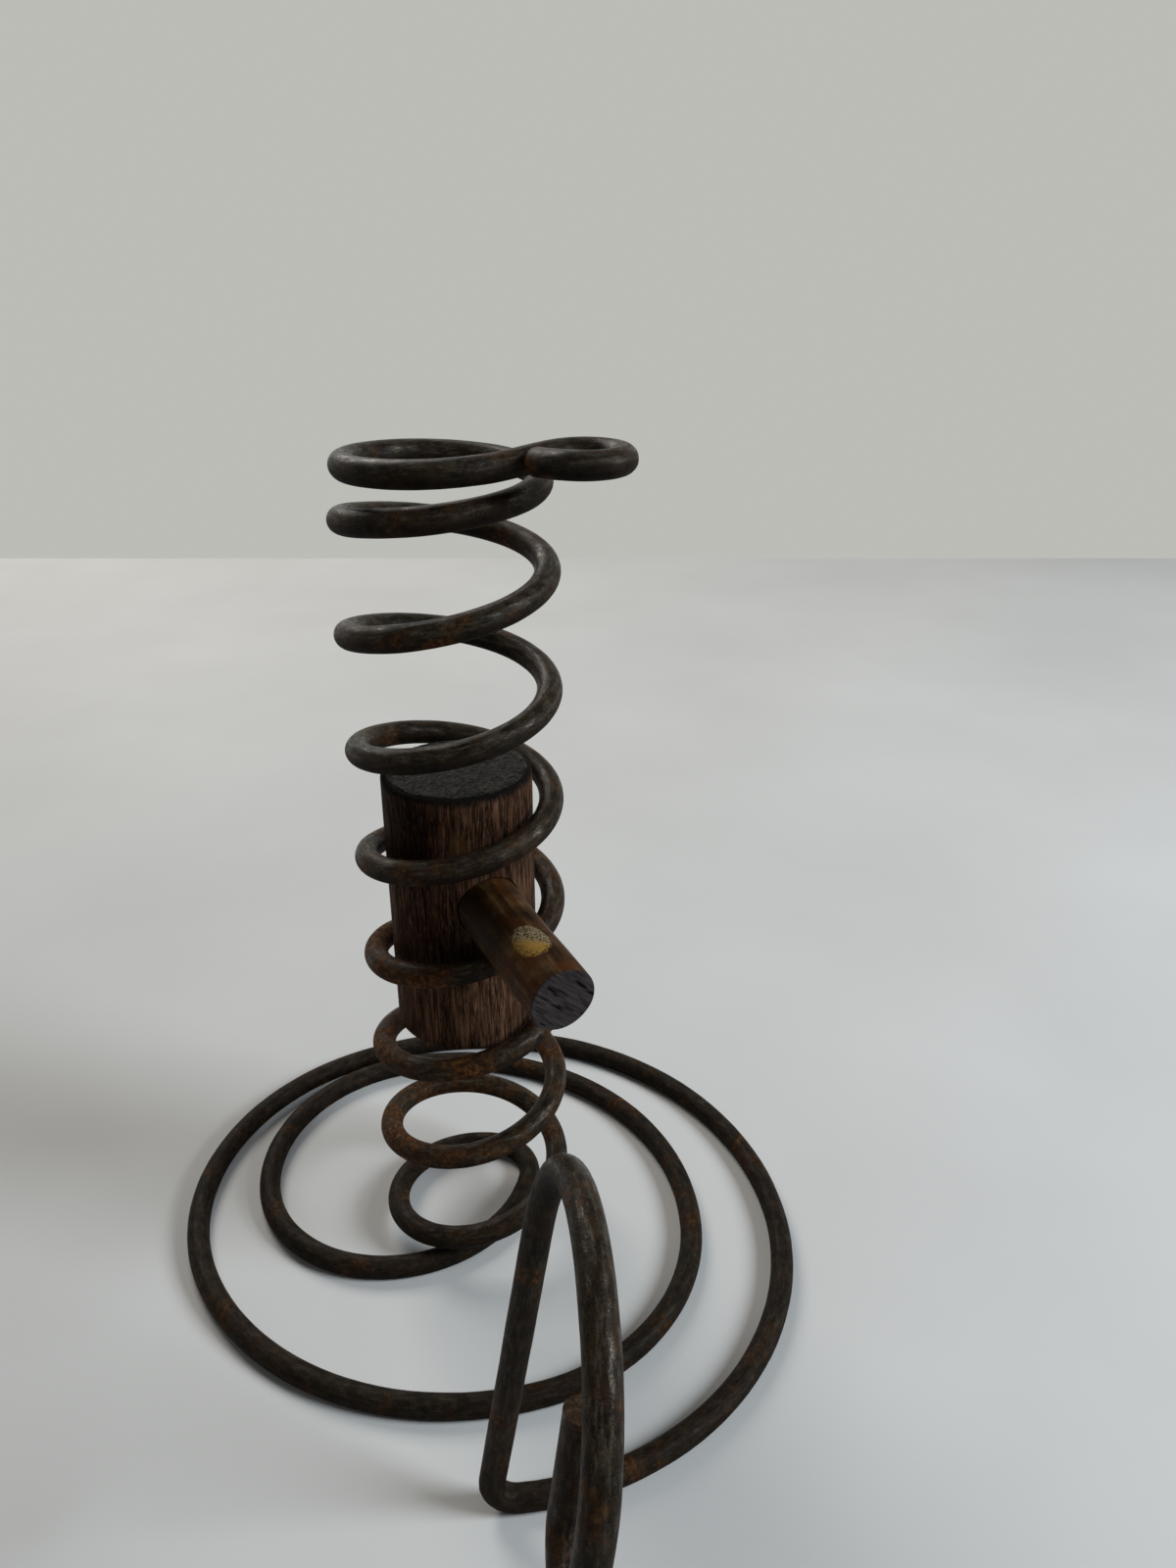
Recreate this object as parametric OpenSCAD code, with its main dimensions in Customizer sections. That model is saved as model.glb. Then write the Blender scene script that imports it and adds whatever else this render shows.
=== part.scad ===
// Courting candlestick: one bent iron rod that makes the coil, its foot and its handle,
// with a wooden plug that a turning peg screws up and down inside the coil.
// The stand rests on Z = 0 with the origin at the middle of its box, +Z runs up the coil,
// and the handle is at the front, towards -Y.

/* [Iron rod] */
// Diameter of the round rod that the whole stand is bent from
wire_d = 4.8; // [4:0.1:5.4]
// Clear gap where the lowest turn of the coil passes over the foot
cross_gap = 0.9; // [0.8:0.1:1.5]

/* [Coil] */
// Radius of the coil, to the middle of the rod
coil_r = 17.4; // [16.8:0.2:18.4]
// Rise of the coil for each full turn
pitch = 21.6; // [20:0.2:24]
// Full turns at that even pitch
open_turns = 6; // [5:1:8]
// Radius of the closed turn at the top, to the middle of the rod
top_r = 15.8; // [15.4:0.1:16.6]
// Clear gap between the two top turns
top_gap = 2.3; // [1.5:0.1:4]

/* [Thumb eye] */
// Angle round the coil at which the rod leaves the top turn, from +X
eye_at = 295; // [285:1:300]
// Straight reach of the rod from the top turn to the eye
eye_reach = 16; // [14:0.5:22]
// Radius of the eye, to the middle of the rod
eye_r = 6; // [5.4:0.1:6.2]
// How far the eye turns back on itself, in degrees
eye_sweep = 260; // [250:1:265]
// Gap between the rod's filed end and the side of the top turn
eye_gap = 0.6; // [0.5:0.1:1.5]
// Height of the eye above the top turn
eye_rise = 1.6; // [0:0.1:2.5]

/* [Foot] */
// Radius of the bend that leads out from under the coil
lead_r = 10; // [8:0.5:12]
// Radii of the inner turn's bends, in the order that they follow
inner_r = [29.5, 35, 55, 42.5]; // [25:0.5:60]
// Radii of the outer turn's bends, in the order that they follow
outer_r = [61.5, 49.5, 67, 58.5]; // [45:0.5:70]

/* [Handle] */
// Radius of the sharp bend where the base turns up into the handle
heel_r = 4.6; // [4:0.2:7]
// Lean of the upright, back over the base, in degrees
handle_lean = 8.8; // [0:0.1:12]
// Direction in which the handle stands out from the base, from +X
handle_at = -82; // [-90:1:-60]
// Length of the straight upright
upright_l = 56.5; // [50:0.5:70]
// Radius of the arch over the top of the handle
arch_r = 26; // [20:0.5:30]
// Straight run between the arch and the bow
arch_run = 2; // [1:0.5:8]
// Radius of the bow at the front of the handle
bow_r = 22; // [18:0.5:28]
// Straight run between the bow and the curl
bow_run = 2; // [1:0.5:8]
// Radius of the curl that ends the handle
curl_r = 5.2; // [4.8:0.1:7]
// Length of the straight tail after the curl
tail_l = 15; // [8:0.5:24]

/* [Plug] */
// Clear gap between the wooden plug and the coil round it
plug_gap = 1; // [0.6:0.1:2]
// Height of the wooden plug
plug_h = 53.5; // [44:0.5:60]
// Height of the plug's top above the axis of its peg
plug_above_peg = 21.5; // [16:0.5:30]
// Chamfer on the plug's two edges
plug_chamfer = 0.8; // [0.4:0.1:1.5]
// Thickness of the skin of old wax and soot on the plug's top
skin_t = 0.4; // [0.3:0.1:1]
// Clear gap under that skin, which the plug turns against
skin_gap = 0.03; // [0.02:0.01:0.05]

/* [Peg] */
// Diameter of the peg that turns the plug
peg_d = 12; // [10:0.2:12.6]
// Reach of the peg's end from the coil's axis
peg_reach = 43; // [36:0.5:46]
// Depth of the peg's blind hole in the plug, from the plug's side
peg_depth = 20; // [12:0.5:23]
// Droop of the peg below level, in degrees
peg_droop = 4; // [0:0.5:4]
// Direction of the peg as the plug stands, from +X
peg_at = -62; // [-75:1:-45]
// Clear gap between the peg and the turn that it rests on
peg_gap = 0.3; // [0.2:0.1:0.6]
// Chamfer on the peg's sawn end
peg_chamfer = 0.4; // [0.2:0.1:0.8]

/* [Hidden] */

iron = "#2e2825";
dark_wood = "#3b281c";
brown_wood = "#5b3b22";
soot = "#141210";

$fn = 96;
wire_r = wire_d / 2;
plug_r = coil_r - wire_r - plug_gap;

// Facets: sides of the rod, and the largest turn between two of its rings
rod_sides = 12;
coil_step = 15;
bend_step = 10;
eye_step = 20;

// The rod is filed flat by a tenth of its diameter where it stands
rest_z = wire_r - wire_d / 10;

// Where the coil comes down into its foot, from +X, which is also where it first lies flat
foot_at = 83;
// How far each bend of the foot turns, from the lead outwards
foot_radii = concat([lead_r], inner_r, outer_r);
foot_sweeps = [91, 156, 93, 103, 73, 73, 90, 118, 90];
// How far each bend of the handle turns
arch_sweep = 111;
bow_sweep = 85;
curl_sweep = 155;
// Turns between the peg's own turn of the coil and the crossing at the foot
peg_turns = 3;
// Turns over which the coil closes up at the top
closing_turns = 2;

function heading(a) = [cos(a), sin(a)];
function unit(v) = v / norm(v);
function last(list) = list[len(list) - 1];
function smooth(u) = u * u * (3 - 2 * u);
function flat3(p, z) = [p[0], p[1], z];

// A path in a plane: each move is a straight and then a clockwise bend
function moves_path(moves, p, a, step, i = 0) =
    i == len(moves) ? [] :
    let (
        run = moves[i][0],
        r = moves[i][1],
        sweep = moves[i][2],
        q = p + run * heading(a),
        c = q + r * heading(a - 90),
        n = ceil(sweep / step),
        bend = [for (k = [1:1:n]) c + r * heading(a + 90 - sweep * k / n)],
        straight = run > 0 ? [q] : [],
        made = concat(straight, bend)
    )
    concat(made, moves_path(moves, last(made), a - sweep, step, i + 1));

// The base in plan, from the coil's foot to the heel of the handle
base_moves = [for (i = [0:len(foot_radii) - 1]) [0, foot_radii[i], foot_sweeps[i]]];
base_turned = foot_at - 90 - sum_of(foot_sweeps);
base_start = coil_r * heading(foot_at);
base_plan = moves_path(base_moves, base_start, foot_at - 90, bend_step);
function sum_of(list, i = 0) = i == len(list) ? 0 : list[i] + sum_of(list, i + 1);

// The lowest turn passes over the base where the base first runs out under the coil
cross_i = [for (i = [1:len(base_plan) - 1])
    if (norm(base_plan[i]) >= coil_r && norm(base_plan[i - 1]) < coil_r) i][0];
cross_p = (base_plan[cross_i] + base_plan[cross_i - 1]) / 2;
cross_at = atan2(cross_p[1], cross_p[0]) + 360;
cross_z = rest_z + wire_d + cross_gap;

// Height of the rod's middle, by how far it has turned up from the crossing
land_a = cross_at - foot_at;
open_a = open_turns * 360;
close_a = closing_turns * 360;
// Over the closing turns the pitch falls smoothly, to leave top_gap between the last two
close_drop = (pitch - wire_d - top_gap) / 0.8125;
function landing_z(u) =
    rest_z + (cross_z - rest_z) * smooth(u) + pitch * land_a / 360 * (u * u * u - u * u);
function open_z(a) = cross_z + pitch * a / 360;
function closing_z(u) =
    open_z(open_a) + closing_turns * (pitch * u - close_drop * (u * u * u - pow(u, 4) / 2));
function coil_z(a) =
    a < 0 ? landing_z(1 + a / land_a) :
    a <= open_a ? open_z(a) :
    a <= open_a + close_a ? closing_z((a - open_a) / close_a) :
    closing_z(1) + (pitch - close_drop) * (a - open_a - close_a) / 360;
function coil_radius(a) =
    coil_r - (coil_r - top_r) * smooth(min(1, max(0, (a - open_a) / close_a)));
function coil_point(a) = flat3(coil_radius(a) * heading(a + cross_at), coil_z(a));

// The coil from its top down to its foot
coil_top_a = open_a + close_a + eye_at - cross_at;
coil_rings = ceil((coil_top_a + land_a) / coil_step);
coil_path = [for (k = [0:coil_rings])
    coil_point(coil_top_a - (coil_top_a + land_a) * k / coil_rings)];

// The eye, from the filed end to the coil, worked out backwards from the top turn
eye_start = top_r * heading(eye_at);
eye_leave = eye_at + 90;
eye_centre = eye_start + eye_reach * heading(eye_leave) + eye_r * heading(eye_leave - 90);
eye_last = eye_centre + eye_r * heading(eye_leave + 90 - eye_sweep);
// The tail runs on until it stands eye_gap off the side of the rod
eye_side = (eye_last - eye_start) * heading(eye_leave - 90);
eye_tail = (eye_side - wire_r - eye_gap - wire_r * abs(cos(eye_sweep)))
    / abs(sin(eye_sweep));
eye_plan = concat(
    [for (k = [0.5, 1]) eye_start + eye_reach * k * heading(eye_leave)],
    moves_path([[0, eye_r, eye_sweep], [eye_tail, 0, 0]],
        eye_start + eye_reach * heading(eye_leave), eye_leave, eye_step)
);
coil_top_z = coil_z(coil_top_a);
eye_up = [for (i = [0:len(eye_plan) - 1])
    flat3(eye_plan[i], coil_top_z + eye_rise * (i == 0 ? 0.5 : 1))];
eye_path = [for (i = [len(eye_up) - 1:-1:0]) eye_up[i]];

// The base, flat on the ground
base_path = [for (p = base_plan) flat3(p, rest_z)];

// The heel turns the rod up out of the base, in the plane of its last heading
heel_in = flat3(heading(base_turned), 0);
heel_sweep = 90 + handle_lean;
heel_n = ceil(heel_sweep / coil_step);
heel_path = [for (k = [1:heel_n]) let (b = heel_sweep * k / heel_n)
    last(base_path) + heel_r * (sin(b) * heel_in + (1 - cos(b)) * [0, 0, 1])];

// The handle stands in its own plane, up along the upright and out from the base
hand_up = unit(cos(handle_lean) * [0, 0, 1] - sin(handle_lean) * heel_in);
hand_raw = flat3(heading(handle_at), 0);
hand_out = unit(hand_raw - (hand_raw * hand_up) * hand_up);
hand_moves = [
    [upright_l, arch_r, arch_sweep],
    [arch_run, bow_r, bow_sweep],
    [bow_run, curl_r, curl_sweep],
    [tail_l, 0, 0]
];
hand_plan = moves_path(hand_moves, [0, 0], 90, bend_step);
hand_path = [for (p = hand_plan) last(heel_path) + p[0] * hand_out + p[1] * hand_up];

// The whole rod from end to end, and where its five runs meet
rod = concat(eye_path, coil_path, base_path, heel_path, hand_path);
coil_first = len(eye_path);
open_first = coil_first + round((coil_top_a - open_a) / (coil_top_a + land_a) * coil_rings);
base_first = coil_first + len(coil_path) - 1;
heel_first = base_first + len(base_path);
rod_last = len(rod) - 1;

// Directions along the rod, and a direction across it that never twists along the handle
rod_along = [for (i = [0:rod_last])
    unit(rod[min(i + 1, rod_last)] - rod[max(i - 1, 0)])];
function across(n, t) = unit(n - (n * t) * t);
function next_across(n, i) =
    i > rod_last ? n : across(i <= heel_first ? [0, 0, 1] : n, rod_along[i]);
rod_across = [
    for (i = 0, n = across([0, 0, 1], rod_along[0]); i <= rod_last;
        i = i + 1, n = next_across(n, i)) n
];
function ring(i) = let (n = rod_across[i], m = cross(rod_along[i], n))
    [for (k = [0:rod_sides - 1]) let (
        a = 360 * k / rod_sides,
        p = rod[i] + wire_r * (cos(a) * n + sin(a) * m)
    ) [p[0], p[1], max(0, p[2])]];

// One run of the rod as an unbroken tube
module rod_run(first, final) {
    rings = final - first;
    s = rod_sides;
    points = [for (i = [first:final]) each ring(i)];
    sides = [for (i = [0:rings - 1], k = [0:s - 1]) let (
        a = i * s + k,
        b = i * s + (k + 1) % s
    ) each [[a, a + s, b], [b, a + s, b + s]]];
    start_cap = [for (k = [0:s - 1]) k];
    end_cap = [for (k = [s - 1:-1:0]) rings * s + k];
    polyhedron(points = points, faces = concat([start_cap], sides, [end_cap]));
}

// Least gap of the rod to itself, from the points on its skin to the stretches close by
run_to = [for (i = 0, l = 0; i <= rod_last;
    i = i + 1, l = i > rod_last ? l : l + norm(rod[i] - rod[i - 1])) l];
function off_stretch(p, j) = let (
    d = rod[j + 1] - rod[j],
    u = (p - rod[j]) * d / (d * d),
    past_end = (j == 0 && u < 0) || (j == rod_last - 1 && u > 1)
) past_end ? 3 * wire_d : norm(p - rod[j] - min(1, max(0, u)) * d);
least_gap = min([for (i = [0:rod_last - 1], j = [0:rod_last - 1])
    if (abs(run_to[j] - run_to[i]) > 3 * wire_d && norm(rod[i] - rod[j]) < 3 * wire_d)
    for (p = ring(i)) off_stretch(p, j)]) - wire_r;
echo(str("least gap of the rod to itself: ", least_gap, " mm"));
echo(str("length of the rod: ", last(run_to), " mm"));

// The paths are worked out about the coil's axis, then moved to the middle of the rod's box
skin_x = [for (i = [0:rod_last]) for (p = ring(i)) p[0]];
skin_y = [for (i = [0:rod_last]) for (p = ring(i)) p[1]];
axis_at = -[(min(skin_x) + max(skin_x)) / 2, (min(skin_y) + max(skin_y)) / 2, 0];
echo(str("the coil's axis stands at: ", axis_at, " mm"));
module placed() {
    translate(axis_at)
    children();
}

// The peg rests on a turn of the coil, and the plug is placed from the peg
slope = atan(pitch / (2 * PI * coil_r));
peg_turn_a = 360 * peg_turns + peg_at + 360 - cross_at;
peg_lift = (peg_d / 2 + wire_r + peg_gap) / (cos(slope) * cos(peg_droop));
peg_axis_z = coil_z(peg_turn_a) + peg_lift + coil_r * tan(peg_droop);
plug_top_z = peg_axis_z + plug_above_peg;
plug_foot_z = plug_top_z - plug_h;

module on_peg_axis() {
    translate([0, 0, peg_axis_z])
    rotate([0, 90 + peg_droop, peg_at])
    children();
}

module thumb_eye() {
    color(iron) placed() rod_run(0, coil_first);
}

module top_turns() {
    color(iron) placed() rod_run(coil_first, open_first);
}

module coil() {
    color(iron) placed() rod_run(open_first, base_first);
}

module base_spiral() {
    color(iron) placed() rod_run(base_first, heel_first);
}

module handle() {
    color(iron) placed() rod_run(heel_first, rod_last);
}

module plug() {
    c = plug_chamfer;
    color(dark_wood)
    placed()
    difference() {
        translate([0, 0, plug_foot_z])
        rotate_extrude()
        polygon([
            [0, 0], [plug_r - c, 0], [plug_r, c],
            [plug_r, plug_h - c], [plug_r - c, plug_h], [0, plug_h]
        ]);
        on_peg_axis()
        translate([0, 0, plug_r - peg_depth])
        cylinder(d = peg_d, h = peg_depth + plug_r);
    }
}

module peg() {
    c = peg_chamfer;
    l = peg_reach - plug_r + peg_depth;
    color(brown_wood)
    placed()
    on_peg_axis()
    translate([0, 0, plug_r - peg_depth])
    rotate_extrude()
    polygon([
        [0, 0], [peg_d / 2, 0], [peg_d / 2, l - c], [peg_d / 2 - c, l], [0, l]
    ]);
}

module wax_skin() {
    color(soot)
    placed()
    translate([0, 0, plug_top_z + skin_gap])
    cylinder(r = plug_r - plug_chamfer, h = skin_t);
}

thumb_eye();
top_turns();
coil();
base_spiral();
handle();
plug();
peg();
wax_skin();
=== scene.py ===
import math

import bmesh
import bpy
import numpy as np
from mathutils import Matrix, Vector, noise


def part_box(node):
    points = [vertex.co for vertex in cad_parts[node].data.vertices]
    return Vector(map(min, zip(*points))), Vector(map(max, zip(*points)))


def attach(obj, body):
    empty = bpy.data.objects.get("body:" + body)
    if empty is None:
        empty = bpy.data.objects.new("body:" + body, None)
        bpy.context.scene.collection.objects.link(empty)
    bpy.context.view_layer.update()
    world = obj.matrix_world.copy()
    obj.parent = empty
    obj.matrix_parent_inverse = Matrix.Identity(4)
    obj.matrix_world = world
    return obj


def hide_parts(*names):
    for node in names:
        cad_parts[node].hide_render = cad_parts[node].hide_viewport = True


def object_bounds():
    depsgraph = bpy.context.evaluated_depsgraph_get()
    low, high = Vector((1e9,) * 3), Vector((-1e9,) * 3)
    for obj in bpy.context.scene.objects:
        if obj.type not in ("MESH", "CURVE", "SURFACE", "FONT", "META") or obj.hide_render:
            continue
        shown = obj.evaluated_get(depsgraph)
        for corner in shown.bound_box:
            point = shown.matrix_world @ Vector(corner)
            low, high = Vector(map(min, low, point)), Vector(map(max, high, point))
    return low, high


# A candlestick: one bent iron rod, a wooden plug with its peg, and the skin of wax on the plug.
# The sizes from here to the camera are millimetres and degrees. All lengths after them are metres.

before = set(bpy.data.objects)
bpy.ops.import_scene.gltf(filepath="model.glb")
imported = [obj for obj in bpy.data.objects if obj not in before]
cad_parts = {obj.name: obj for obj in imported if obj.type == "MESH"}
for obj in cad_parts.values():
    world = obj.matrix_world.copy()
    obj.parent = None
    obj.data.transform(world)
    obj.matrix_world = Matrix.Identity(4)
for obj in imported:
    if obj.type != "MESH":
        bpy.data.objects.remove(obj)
CAD_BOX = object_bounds()
MM = 0.001

# Rod
WIRE_D = 4.8
FILED = WIRE_D / 10
CROSS_GAP = 0.9
# Coil
COIL_R = 17.4
PITCH = 21.6
OPEN_TURNS = 6
CLOSING_TURNS = 2
TOP_R = 15.8
TOP_GAP = 2.3
# Thumb loop
EYE_AT = 295
EYE_REACH = 16
EYE_R = 6
EYE_SWEEP = 260
EYE_GAP = 0.12
EYE_RISE = 1.6
# Foot: bends from the coil outwards, each a radius and a sweep
FOOT_AT = 83
FOOT_BENDS = [
    (10, 91), (29.5, 156), (35, 93), (55, 103), (42.5, 73),
    (61.5, 73), (49.5, 90), (67, 118), (58.5, 90),
]
# Handle: moves, each a straight's length, then a bend's radius and sweep
HEEL_R = 4.6
HANDLE_LEAN = 8.8
HANDLE_AT = -82
HANDLE_MOVES = [(56.5, 26, 111), (2, 22, 85), (2, 5.2, 155), (15, 0, 0)]
# Steps between the points of the rod's path: along a straight, then round its bends
STRAIGHT_STEP = 2
FINE_STEP = 3
LOOP_STEP = 5
COARSE_STEP = 10
HEEL_POINTS = 24
# Plug
PLUG_EDGE = 0.9
# Peg
PEG_D = 12
PEG_REACH = 43
PEG_DEPTH = 20
PEG_DROOP = 4
PEG_AT = -62
PEG_AXIS_Z = 85.148
PEG_EDGE = 0.35
SAW_ANGLE = -46
# Drill for the peg's hole, wider than the peg by a clearance all round
DRILL_CLEAR = 0.12
DRILL_LENGTH = 30
# The photograph's camera, from the coil's axis
CAMERA_FROM_AXIS = (24.2, -196.4, 196.7)
CAMERA_TILT = 64.6
LENS = 36
SENSOR = 36

# The table's front and sides from the origin, and its reach behind the coil, in metres
TABLE_HALF = 0.9
TABLE_DEPTH = 0.562

low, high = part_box("plug")
AXIS = np.array([(low.x + high.x) / 2, (low.y + high.y) / 2, 0.0])
PLUG_R = (high.x - low.x) / 2
PLUG_FOOT = low.z
PLUG_TOP = high.z
SKIN_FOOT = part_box("wax_skin")[0].z
SKIN_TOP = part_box("wax_skin")[1].z

# The peg's own frame: Z runs out along it from the coil's axis, and -X is up
PEG_TURN = (Matrix.Rotation(math.radians(PEG_AT), 3, "Z")
            @ Matrix.Rotation(math.radians(90 + PEG_DROOP), 3, "Y"))
PEG_CENTRE = Vector((AXIS[0], AXIS[1], PEG_AXIS_Z * MM))
PEG_PLACE = Matrix.Translation(PEG_CENTRE) @ PEG_TURN.to_4x4()
SAW = math.radians(SAW_ANGLE)

# Finishes. A ramp is a list of places on a pattern, each with the colour there.
SCALE_DARK = [(0.32, (0.0030, 0.0019, 0.0009)), (0.50, (0.0160, 0.0102, 0.0050)),
              (0.68, (0.0380, 0.0255, 0.0135))]
SCALE_WARM = [(0.32, (0.0050, 0.0026, 0.0013)), (0.52, (0.0240, 0.0122, 0.0054)),
              (0.72, (0.0500, 0.0260, 0.0115))]
# Painted shade for the rod's undersides and the parts that lie low
PAINTED_UNDERSIDE_SHADE = (0.0018, 0.0012, 0.0008)
RUBBED_IRON = (0.112, 0.097, 0.076)
RUST = [(0.34, (0.0080, 0.0030, 0.0012)), (0.48, (0.0420, 0.0155, 0.0046)),
        (0.60, (0.1450, 0.0570, 0.0140)), (0.74, (0.2100, 0.1100, 0.0420))]
PLUG_DARK = [(0.38, (0.0014, 0.0005, 0.0003)), (0.50, (0.0125, 0.0041, 0.0020)),
             (0.64, (0.0640, 0.0235, 0.0105))]
PLUG_WORN = [(0.38, (0.0075, 0.0034, 0.0018)), (0.50, (0.0640, 0.0300, 0.0162)),
             (0.64, (0.1950, 0.1040, 0.0590))]
PLUG_CHAR = (0.0055, 0.0045, 0.0038)
PLUG_SPOT = (0.110, 0.055, 0.016)
PLUG_FLECK = (0.150, 0.088, 0.053)
PLUG_PORE = (0.0016, 0.001, 0.0008)
PEG_BROWN = [(0.36, (0.0060, 0.0024, 0.0009)), (0.50, (0.0440, 0.0200, 0.0070)),
             (0.62, (0.1600, 0.0860, 0.0320))]
PEG_RUDDY = (0.070, 0.0215, 0.0060)
# Painted shade for one side of the peg
PEG_PAINTED_SHADE = (0.0040, 0.0018, 0.0008)
PEG_GOLDEN = (0.36, 0.195, 0.040)
PEG_DUSTY = (0.27, 0.205, 0.110)
PEG_SAWN = [(0.12, (0.0030, 0.0022, 0.0021)), (0.42, (0.0270, 0.0220, 0.0220)),
            (0.64, (0.0580, 0.0480, 0.0475))]
WAX = [(0.40, (0.0010, 0.0008, 0.0006)), (0.50, (0.0065, 0.0052, 0.0037)),
       (0.62, (0.0300, 0.0245, 0.0175))]
CLOTH = [(0.3, (0.66, 0.645, 0.61)), (0.7, (0.72, 0.705, 0.67))]


def heading(angle):
    a = math.radians(angle)
    return np.array([math.cos(a), math.sin(a)])


def follow(moves, start, angle, step):
    """Points of a plane path whose moves are each a straight and a clockwise bend."""
    points = []
    p = np.array(start, float)
    for run, radius, sweep in moves:
        if run > 0:
            q = p + run * heading(angle)
            count = max(1, int(run / STRAIGHT_STEP))
            points += [p + (q - p) * k / count for k in range(1, count + 1)]
            p = q
        if radius > 0:
            centre = p + radius * heading(angle - 90)
            count = math.ceil(sweep / step)
            points += [centre + radius * heading(angle + 90 - sweep * k / count)
                       for k in range(1, count + 1)]
            p = points[-1]
        angle -= sweep
    return points


def smooth(u):
    return u * u * (3 - 2 * u)


def coil_points(base_start, base_moves):
    """The coil's middle, from its top turn down to the start of the foot."""
    rest_z = WIRE_D / 2 - FILED
    coarse = follow(base_moves, base_start, FOOT_AT - 90, COARSE_STEP)
    i = next(k for k in range(1, len(coarse))
             if np.linalg.norm(coarse[k]) >= COIL_R > np.linalg.norm(coarse[k - 1]))
    crossing = (coarse[i] + coarse[i - 1]) / 2
    cross_at = math.degrees(math.atan2(crossing[1], crossing[0])) + 360
    cross_z = rest_z + WIRE_D + CROSS_GAP
    land = cross_at - FOOT_AT
    open_a = OPEN_TURNS * 360
    close_a = CLOSING_TURNS * 360
    open_top = cross_z + PITCH * OPEN_TURNS

    def lag(u):
        """How far the closing turns stay behind the even screw, at a share of their sweep."""
        return u ** 3 - u ** 4 / 2

    last_turn = CLOSING_TURNS * (lag(1) - lag(1 - 1 / CLOSING_TURNS))
    drop = (PITCH - WIRE_D - TOP_GAP) / last_turn

    def closing(u):
        return open_top + CLOSING_TURNS * (PITCH * u - drop * lag(u))

    def height(a):
        if a < 0:
            u = 1 + a / land
            return (rest_z + (cross_z - rest_z) * smooth(u)
                    + PITCH * land / 360 * (u ** 3 - u ** 2))
        if a <= open_a:
            return cross_z + PITCH * a / 360
        if a <= open_a + close_a:
            return closing((a - open_a) / close_a)
        return closing(1) + (PITCH - drop) * (a - open_a - close_a) / 360

    def radius(a):
        u = min(1, max(0, (a - open_a) / close_a))
        return COIL_R - (COIL_R - TOP_R) * smooth(u)

    top_a = open_a + close_a + EYE_AT - cross_at
    rings = math.ceil((top_a + land) / FINE_STEP)
    points = []
    for k in range(rings + 1):
        a = top_a - (top_a + land) * k / rings
        p = radius(a) * heading(a + cross_at)
        points.append((p[0], p[1], height(a)))
    return points


def eye_points(eye_z):
    """The thumb loop, from the coil's top turn outwards to its filed end."""
    wire_r = WIRE_D / 2
    start = TOP_R * heading(EYE_AT)
    leave = EYE_AT + 90
    centre = start + EYE_REACH * heading(leave) + EYE_R * heading(leave - 90)
    last = centre + EYE_R * heading(leave + 90 - EYE_SWEEP)
    side = (last - start) @ heading(leave - 90)
    sweep = math.radians(EYE_SWEEP)
    tail = (side - wire_r - EYE_GAP - wire_r * abs(math.cos(sweep))) / abs(math.sin(sweep))
    flat = follow([(EYE_REACH, EYE_R, EYE_SWEEP), (tail, 0, 0)], start, leave, LOOP_STEP)
    rise = [min(1.0, np.linalg.norm(p - start) / EYE_REACH) for p in flat]
    return [(p[0], p[1], eye_z + EYE_RISE * smooth(u)) for p, u in zip(flat, rise)]


def handle_points(foot):
    """The handle: a heel that turns up from the foot, and the moves of its hook."""
    turned = FOOT_AT - 90 - sum(sweep for radius, sweep in FOOT_BENDS)
    inward = np.array([*heading(turned), 0.0])
    up = np.array([0.0, 0.0, 1.0])
    lean = math.radians(HANDLE_LEAN)
    heel = [foot + HEEL_R * (math.sin(b) * inward + (1 - math.cos(b)) * up)
            for b in np.linspace(0, math.radians(90 + HANDLE_LEAN), HEEL_POINTS + 1)[1:]]
    hand_up = math.cos(lean) * up - math.sin(lean) * inward
    ahead = np.array([*heading(HANDLE_AT), 0.0])
    hand_out = ahead - (ahead @ hand_up) * hand_up
    hand_out /= np.linalg.norm(hand_out)
    return heel + [heel[-1] + p[0] * hand_out + p[1] * hand_up
                   for p in follow(HANDLE_MOVES, (0, 0), 90, LOOP_STEP)]


def rod_path():
    """The middle of the rod, from the thumb loop's filed end to the tail of the handle."""
    rest_z = WIRE_D / 2 - FILED
    moves = [(0, radius, sweep) for radius, sweep in FOOT_BENDS]
    start = COIL_R * heading(FOOT_AT)
    coil = coil_points(start, moves)
    eye = eye_points(coil[0][2])
    base = [(p[0], p[1], rest_z) for p in follow(moves, start, FOOT_AT - 90, FINE_STEP)]
    points = eye[::-1] + coil + base + handle_points(np.array(base[-1]))
    return np.array(points, float) * MM + AXIS


# Rows and step of the grid on which a tree shows its nodes
GRID_ROWS = 8
GRID_STEP = (220, -280)


def node(tree, kind, **settings):
    """A new node with its settings, on the grid in the order of making."""
    n = tree.nodes.new(kind)
    column, row = divmod(len(tree.nodes), GRID_ROWS)
    n.location = (column * GRID_STEP[0], row * GRID_STEP[1])
    for key, value in settings.items():
        setattr(n, key, value)
    return n


def wire(tree, source, target):
    tree.links.new(source, target)


def feed(tree, socket, value):
    """A number, a colour or another node's output, into a socket."""
    if isinstance(value, (int, float)):
        socket.default_value = value
    elif isinstance(value, tuple):
        socket.default_value = (*value, 1)
    else:
        wire(tree, value, socket)


def math_node(tree, operation, a, b):
    m = node(tree, "ShaderNodeMath", operation=operation)
    feed(tree, m.inputs[0], a)
    feed(tree, m.inputs[1], b)
    return m.outputs["Value"]


def times(tree, a, b):
    return math_node(tree, "MULTIPLY", a, b)


def plus(tree, a, b):
    return math_node(tree, "ADD", a, b)


def blend(tree, a, share_a, b, share_b):
    """The sum of two patterns, each by its share."""
    return plus(tree, times(tree, a, share_a), times(tree, b, share_b))


def sides_of(tree, vector):
    n = node(tree, "ShaderNodeSeparateXYZ")
    wire(tree, vector, n.inputs["Vector"])
    return n.outputs


def stored_on_rod(tree, name):
    return node(tree, "ShaderNodeAttribute", attribute_name=name).outputs


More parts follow.
